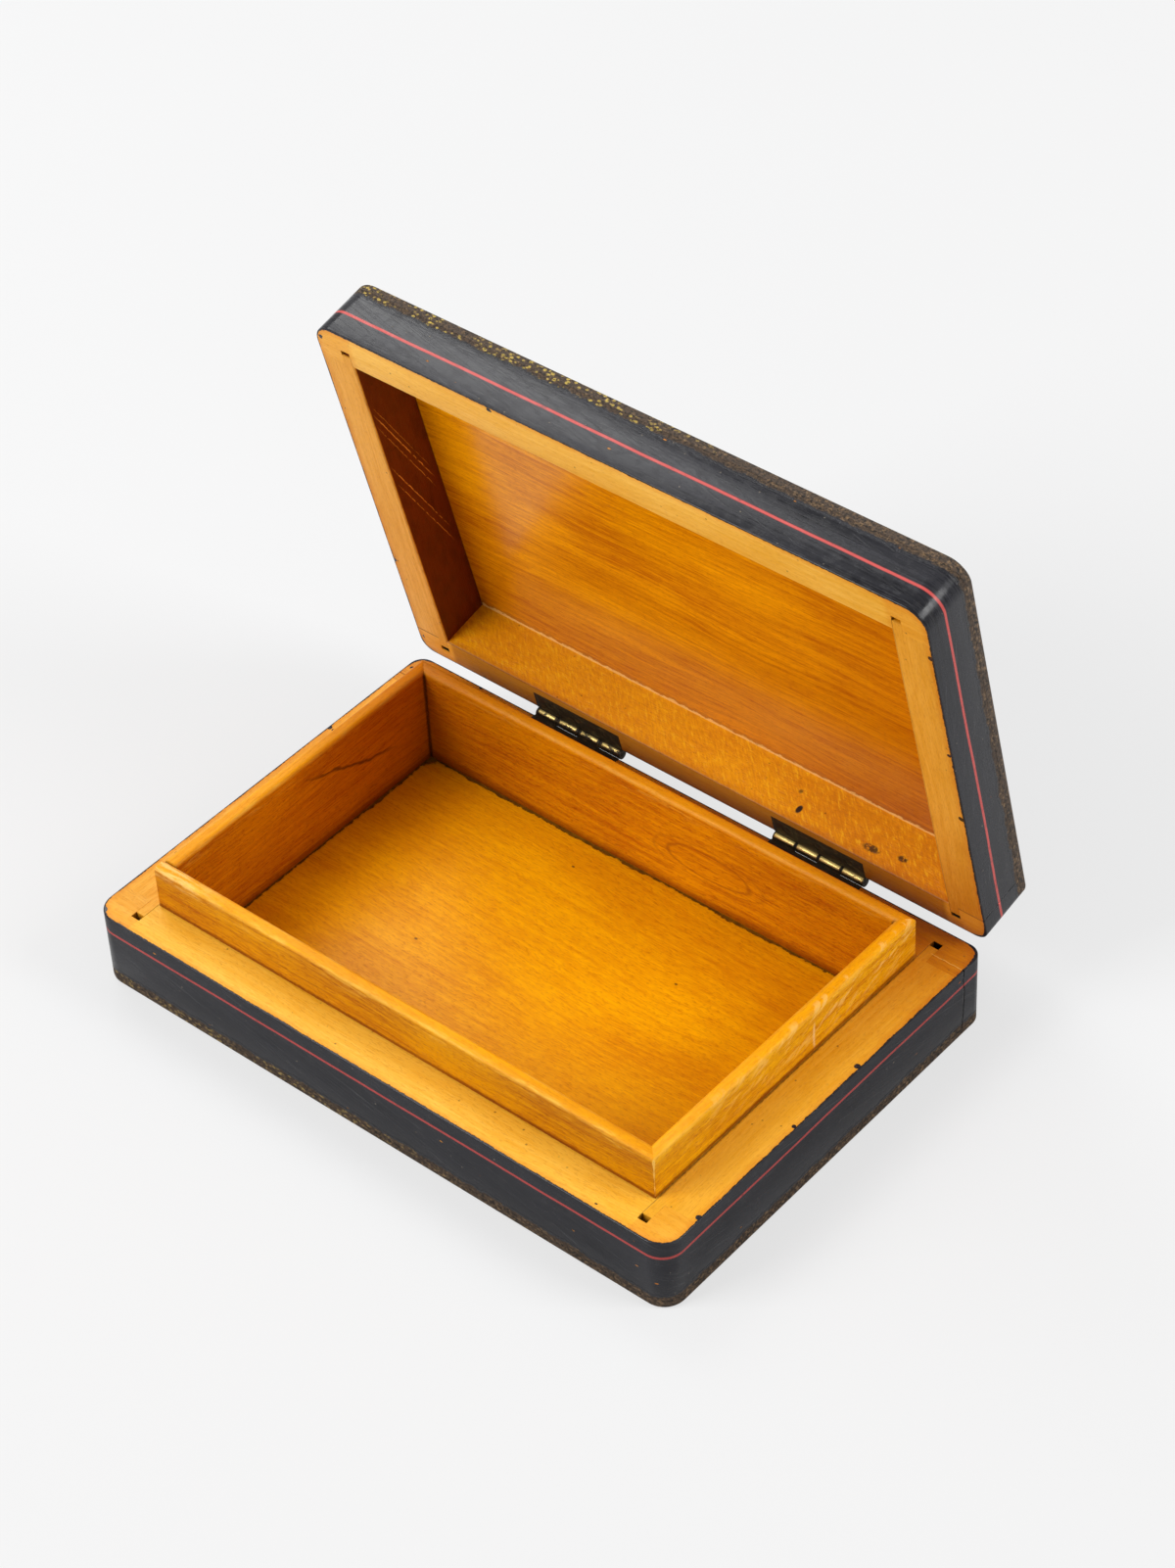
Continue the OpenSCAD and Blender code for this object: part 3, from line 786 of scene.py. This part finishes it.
def chipped_arris(sheet, wood, x, y, z):
    """Pale chips down the upright edge at the front right."""
    torn = sheet.noise(x * 0.9, y * 0.9, z * 0.45, 4.0, 0.7, 139.0)
    aside, back = LINER_SIDE - x, y - LINER_FRONT
    away = (aside * aside + back * back) ** 0.5
    chips = (away - torn * 1.6 - z.above(30.0, 3.0) * 0.35).below(-0.78, 0.12)
    chips = chips * z.above(22.6, 0.4)
    wood = sheet.mix(chips * 0.8, wood, (0.95, 0.58, 0.12))
    return stain(sheet, wood, away.below(0.30, 0.2) * (1.0 - chips) * 0.6, (0.60, 0.36, 0.10))


def front_marks(sheet, wood, x, y, z):
    """The front strip's streak, chips and rubbed left end."""
    torn = sheet.noise(x * 0.12, y * 0.7, z * 0.8, 5.0, 0.72, 141.0)
    high = (z + torn * 4.0).above(LINER_TOP + 0.2, 1.4) * x.below(-63.0, 10.0)
    wood = sheet.mix(high * torn.above(0.50, 0.08) * 0.6, wood, (1.0, 0.66, 0.22))
    return chipped_arris(sheet, front_streak(sheet, wood, x, y, z), x, y, z)


# ---- Marks on single lid rails ----

def lid_rear_marks(sheet, wood, x, y, z):
    """Old nail hole, scars and grime on the lid's rear rail, and painted shade on its rim."""
    torn = sheet.noise(x * 0.8, y * 0.8, z * 0.8, 4.0, 0.7, 181.0)
    raking = sheet.noise((x + z * 1.1) * 1.3, (z - x * 0.7) * 0.30, 0.0, 4.0, 0.65, 183.0)
    inner = y.below(LID_INNER_REAR + 0.3, 0.1)
    wood = stain(sheet, wood, raking.above(0.55, 0.10) * inner * 0.45, (0.72, 0.55, 0.30))
    wood = sheet.mix(raking.below(0.40, 0.05) * inner * 0.45, wood, (1.0, 0.60, 0.02))
    wood = stain(sheet, wood, x.below(-20.0, 45.0) * inner * 0.8, (0.76, 0.70, 0.60))
    marks = blot(x - NAIL_HOLE[0], (z - NAIL_HOLE[1]) * 0.62, 0.75, 0.18)
    pin_hole = blot(x - PIN_HOLE[0], z - PIN_HOLE[1], 0.55, 0.25)
    marks = marks.most(pin_hole * torn.above(0.4, 0.1) * 0.7)
    scars = [
        blot((x - aside) * drawn, z - up, half, 0.3) for aside, up, drawn, half in SCARS
    ]
    marks = marks.most(reduce(Value.most, scars) * torn.above(0.44, 0.06) * 0.9)
    wood = sheet.mix(marks, wood, (0.018, 0.008, 0.003))
    # Hand-worn grime low on the inner face, and painted shade on the rim between the joints
    low = z.below(LID_RIM + 1.4, 1.3) * inner
    wood = stain(sheet, wood, low * 0.5, (0.60, 0.40, 0.20))
    rim = z.below(LID_RIM + 0.25, 0.15) * abs(x).below(LID_INNER_SIDE - 1.0, 1.0)
    return stain(sheet, wood, rim * 0.85, (0.50, 0.34, 0.08))


def lid_left_marks(sheet, wood, x, y, z):
    """Slanting scratches through the dark stain on the left rail's inner face."""
    inner = abs(x).below(LID_INNER_SIDE + 0.3, 0.1)
    torn = sheet.noise(x * 0.5, y * 0.5, z * 0.5, 3.0, 0.6, 187.0)
    slope = y - (z - 26.0) * 2.9 + (torn - 0.5) * 2.0
    lines = reduce(Value.most, [slope.near(*scratch) for scratch in SCRATCHES])
    lines = lines * torn.above(0.42, 0.10) * inner * z.between(24.0, 34.0, 1.2)
    wood = sheet.mix(lines, wood, (1.0, 0.42, 0.06))
    mottle = sheet.noise(y * 0.16, z * 0.35, 0.0, 3.0, 0.6, 189.0)
    return stain(sheet, wood, mottle.above(0.55, 0.12) * inner * 0.5, (0.50, 0.25, 0.20))


# ---- Pieces ----

def clear_selection():
    """Leaves edit mode, with nothing selected."""
    if bpy.context.object is not None and bpy.context.object.mode != "OBJECT":
        bpy.ops.object.mode_set(mode="OBJECT")
    bpy.ops.object.select_all(action="DESELECT")


def take_up(piece):
    """Makes a piece the only selected one, and the active one."""
    clear_selection()
    piece.select_set(True)
    bpy.context.view_layer.objects.active = piece


def shut_place(point, lid):
    """Where a point of a piece lies with the case shut, in millimetres."""
    return (SHUT @ point if lid else point) / MM


def whole_copy(node, name):
    """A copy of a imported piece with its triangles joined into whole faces."""
    piece = bpy.data.objects.new(name, PACKED[node].data.copy())
    bpy.context.scene.collection.objects.link(piece)
    piece.data.materials.clear()
    take_up(piece)
    bpy.ops.object.mode_set(mode="EDIT")
    bpy.ops.mesh.select_all(action="SELECT")
    bpy.ops.mesh.remove_doubles(threshold=0.002 * MM)
    bpy.ops.mesh.customdata_custom_splitnormals_clear()
    bpy.ops.mesh.dissolve_limited(angle_limit=math.radians(0.4))
    bpy.ops.object.mode_set(mode="OBJECT")
    return piece


def soften(piece, lid, test, width, steps):
    """Rounds the sharp edges that pass a test of their middle and run, as they lie shut."""
    take_up(piece)
    bpy.ops.object.mode_set(mode="EDIT")
    bpy.ops.mesh.select_mode(type="EDGE")
    bpy.ops.mesh.select_all(action="DESELECT")
    mesh = bmesh.from_edit_mesh(piece.data)
    chosen = False
    for edge in mesh.edges:
        if len(edge.link_faces) != 2 or edge.calc_face_angle(0.0) < math.radians(SHARP_EDGE):
            continue
        start, end = [shut_place(corner.co, lid) for corner in edge.verts]
        if test((start + end) / 2, (end - start).normalized()):
            edge.select_set(True)
            chosen = True
    bmesh.update_edit_mesh(piece.data)
    if chosen:
        bpy.ops.mesh.bevel(
            offset=width * MM, segments=steps, profile=0.5, affect="EDGES", clamp_overlap=True
        )
    bpy.ops.object.mode_set(mode="OBJECT")


def dress(piece, node, body, material):
    """Gives a finished piece its material and its place among the bodies."""
    piece.data.materials.clear()
    piece.data.materials.append(material)
    take_up(piece)
    bpy.ops.object.shade_smooth_by_angle(angle=math.radians(SMOOTH_EDGE))
    clear_selection()
    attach(piece, body)
    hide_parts(node)


def on_outline(point, front):
    """True for a point on the outer faces, round corners included."""
    corner = FRONT_CORNER if point.y < 0 else REAR_CORNER
    aside = abs(point.x) - (HALF_LENGTH - corner)
    away = abs(point.y - (front + REAR) / 2) - ((REAR - front) / 2 - corner)
    reach = math.hypot(max(aside, 0.0), max(away, 0.0)) + min(max(aside, away), 0.0)
    return abs(reach - corner) < 2 * CLOSE


def make_rail(node, lid, material):
    """A rail with soft outer edges and, in the lid, a soft inner edge along the rim."""
    rim, far, front = (
        (LID_RIM, LID_CEILING, LID_FRONT) if lid else (BASE_RIM, BOARD, BASE_FRONT)
    )

    def outer_edge(level):
        """Test for the level outer edges at one height."""
        def passes(middle, run):
            lies_level = abs(middle.z - level) < CLOSE and abs(run.z) < 0.1
            return lies_level and on_outline(middle, front)
        return passes

    def inner_edge(middle, run):
        """Test for the edges round the lid's opening."""
        if abs(middle.z - rim) >= CLOSE or abs(middle.x) >= LID_INNER_SIDE + CLOSE:
            return False
        off_side = abs(abs(middle.x) - LID_INNER_SIDE)
        off_front, off_rear = abs(middle.y - LID_INNER_FRONT), abs(middle.y - LID_INNER_REAR)
        return min(off_side, off_front, off_rear) < CLOSE

    piece = whole_copy(node, node.replace("_rail", "_rail_dressed"))
    soften(piece, lid, outer_edge(rim), RIM_ROUND, 3)
    soften(piece, lid, outer_edge(far), BOARD_EDGE_ROUND, 2)
    if lid:
        soften(piece, lid, inner_edge, LID_INNER_ROUND, 3)
    dress(piece, node, "lid" if lid else "base", material)


def make_liner(node, material):
    """A liner strip: its end at the left front corner is worn rounder than its other edges."""
    def left_front_end(middle, run):
        at_corner = abs(middle.x + LINER_SIDE) < CLOSE and middle.y < LINER_FRONT + CLOSE
        return abs(run.z) > 0.9 and at_corner

    def upper_or_upright(middle, run):
        return middle.z > LINER_TOP - 2.0 or abs(run.z) > 0.9

    piece = whole_copy(node, node + "_dressed")
    soften(piece, False, left_front_end, STRIP_END_ROUND, 5)
    soften(piece, False, upper_or_upright, STRIP_ROUND, 2)
    dress(piece, node, "base", material)


def make_plain(node, body, material, width):
    """Any other piece; with a width, all its sharp edges are rounded."""
    piece = whole_copy(node, node + "_dressed")
    if width:
        soften(piece, body == "lid", lambda middle, run: True, width, 2)
    dress(piece, node, body, material)


# Rails: node, material, whether it runs along the length, seed, tones, stain of the
# inner face, tint of the rim's ends, and its own marks
RAILS = (
    ("base_front_rail", "front_rail_wood", True, 1.0, HONEY, BROWN, TO_TAN, None),
    ("base_rear_rail", "rear_rail_wood", True, 2.0, REAR_RIM, BROWN, NO_CHANGE, None),
    ("base_left_rail", "left_rail_wood", False, 3.0, TAN, BROWN, NO_CHANGE, None),
    ("base_right_rail", "right_rail_wood", False, 4.0, RIGHT_RIM, BROWN, NO_CHANGE, None),
    ("lid_front_rail", "lid_front_wood", True, 5.0, PALE, AMBER, TO_ORANGE, None),
    ("lid_rear_rail", "lid_rear_wood", True, 6.0, PALE, GOLDEN, TO_ORANGE, lid_rear_marks),
    ("lid_left_rail", "lid_left_wood", False, 7.0, LID_SIDE, DEEP_RED, NO_CHANGE, lid_left_marks),
    ("lid_right_rail", "lid_right_wood", False, 8.0, LID_SIDE, STRONG_AMBER, NO_CHANGE, None),
)
for node, finish, *look in RAILS:
    lid = node.startswith("lid")
    make_rail(node, lid, rail_finish(finish, lid, *look))

# Liner strips: node, material, whether it runs along the length, seed, tones, stains of
# the inner and outer faces, how pale the upper edge is, and its own marks
STRIPS = (
    ("liner_front", "front_strip_wood", True, 111.0, STRIP, NONE, OLIVE, 0.8, front_marks),
    ("liner_rear", "rear_strip_wood", True, 113.0, STRIP, DUSKY, NONE, 0.5, knot_figure),
    # The left strip's inner face takes painted shade in place of a stain
    ("liner_left", "left_strip_wood", False, 115.0, STRIP, SHADED_WALL, NONE, 0.6, left_streak),
    ("liner_right", "right_strip_wood", False, 117.0, PALE_AND_LIT_STRIP, NONE, NONE, 0.5, right_rubbing),
)
for node, *look in STRIPS:
    make_liner(node, liner_finish(*look))

make_plain("floor_panel", "base", floor_finish(), FLOOR_ROUND)
make_plain("bottom_board", "base", bottom_board_finish(), 0.0)
make_plain("lid_top_board", "lid", lid_board_finish(), 0.0)

# Hinges: side, middle, tarnish and seed
for side, middle, tarnish, seed in (
    ("left", LEFT_HINGE, 0.75, 141.0),
    ("right", RIGHT_HINGE, 0.10, 151.0),
):
    brass = brass_finish(f"{side}_hinge_brass", middle, tarnish, seed)
    make_plain(f"hinge_{side}_base_leaf", "base", brass, LEAF_ROUND)
    make_plain(f"hinge_{side}_pin", "base", brass, PIN_ROUND)
    make_plain(f"hinge_{side}_lid_leaf", "lid", brass, LEAF_ROUND)
nail_brass = brass_finish("nail_brass", 0.0, 0.6, 161.0)
make_plain("base_hinge_nails", "base", nail_brass, NAIL_ROUND)
make_plain("lid_hinge_nails", "lid", nail_brass, NAIL_ROUND)


# ---- Floor, light and camera ----

def make_floor():
    """The pale ground, which keeps the case's shadow."""
    clear_selection()
    bpy.ops.mesh.primitive_plane_add(size=6.0, location=(0.0, 0.0, 0.0))
    floor = bpy.context.object
    floor.name = "studio_floor"
    sheet = Sheet("pale_floor")
    x, y, _ = sheet.place(False)
    tone = sheet.noise(x * 0.004, y * 0.004, 0.0, 4.0, 0.6, 171.0)
    colour = sheet.mix(tone, PAPER_LIGHT, PAPER_DARK)
    paper = sheet.node("ShaderNodeBsdfDiffuse", None, {"Color": colour, "Roughness": 0.6})
    even = sheet.node(
        "ShaderNodeEmission", None, {"Color": PAPER_EVEN, "Strength": STEADY_STRENGTH}
    )
    seen = Value(sheet, sheet.node("ShaderNodeLightPath").outputs["Is Camera Ray"])
    both = sheet.node(
        "ShaderNodeMixShader",
        None,
        {0: seen * STEADY_GROUND, 1: paper.outputs[0], 2: even.outputs[0]},
    )
    sheet.node("ShaderNodeOutputMaterial", None, {0: both.outputs[0]})
    floor.data.materials.append(sheet.material)


def area_light(name, place, aim, width, depth, watts):
    """A soft light at a place, turned to what it faces."""
    data = bpy.data.lights.new(name, "AREA")
    data.shape = "RECTANGLE"
    data.size, data.size_y = width, depth
    data.energy = watts
    light = bpy.data.objects.new(name, data)
    light.location = place
    light.rotation_mode = "QUATERNION"
    towards = Vector(aim) - Vector(place)
    light.rotation_quaternion = towards.to_track_quat("-Z", "Y")
    bpy.context.scene.collection.objects.link(light)


def make_world():
    """White light from all round."""
    world = bpy.data.worlds.new("studio_world")
    world.use_nodes = True
    back = world.node_tree.nodes["Background"]
    back.inputs["Color"].default_value = (1.0, 1.0, 1.0, 1.0)
    back.inputs["Strength"].default_value = WORLD_STRENGTH
    bpy.context.scene.world = world


def make_camera():
    """The camera, at the photograph's angle."""
    azimuth, elevation, roll = (
        math.radians(VIEW[name]) for name in ("azimuth", "elevation", "roll")
    )
    outward = math.cos(elevation)
    back = Vector((math.sin(azimuth) * outward, -math.cos(azimuth) * outward, math.sin(elevation)))
    level = Vector((0.0, 0.0, 1.0)).cross(back).normalized()
    upright = back.cross(level)
    place = Vector(VIEW["target"]) + back * VIEW["distance"]
    place = place + level * VIEW["aside"] + upright * VIEW["above"]
    right = level * math.cos(roll) + upright * math.sin(roll)
    up = upright * math.cos(roll) - level * math.sin(roll)
    data = bpy.data.cameras.new("camera")
    data.lens = VIEW["focal"]
    data.sensor_width = VIEW["sensor"]
    data.clip_start, data.clip_end = 0.05, 20.0
    camera = bpy.data.objects.new("camera", data)
    bpy.context.scene.collection.objects.link(camera)
    turn = Matrix((right, up, back)).transposed().to_4x4()
    camera.matrix_world = Matrix.Translation(place) @ turn
    bpy.context.scene.camera = camera


make_floor()
make_world()
for light in LIGHTS:
    area_light(*light)
make_camera()
bpy.context.scene.view_settings.view_transform = "Standard"
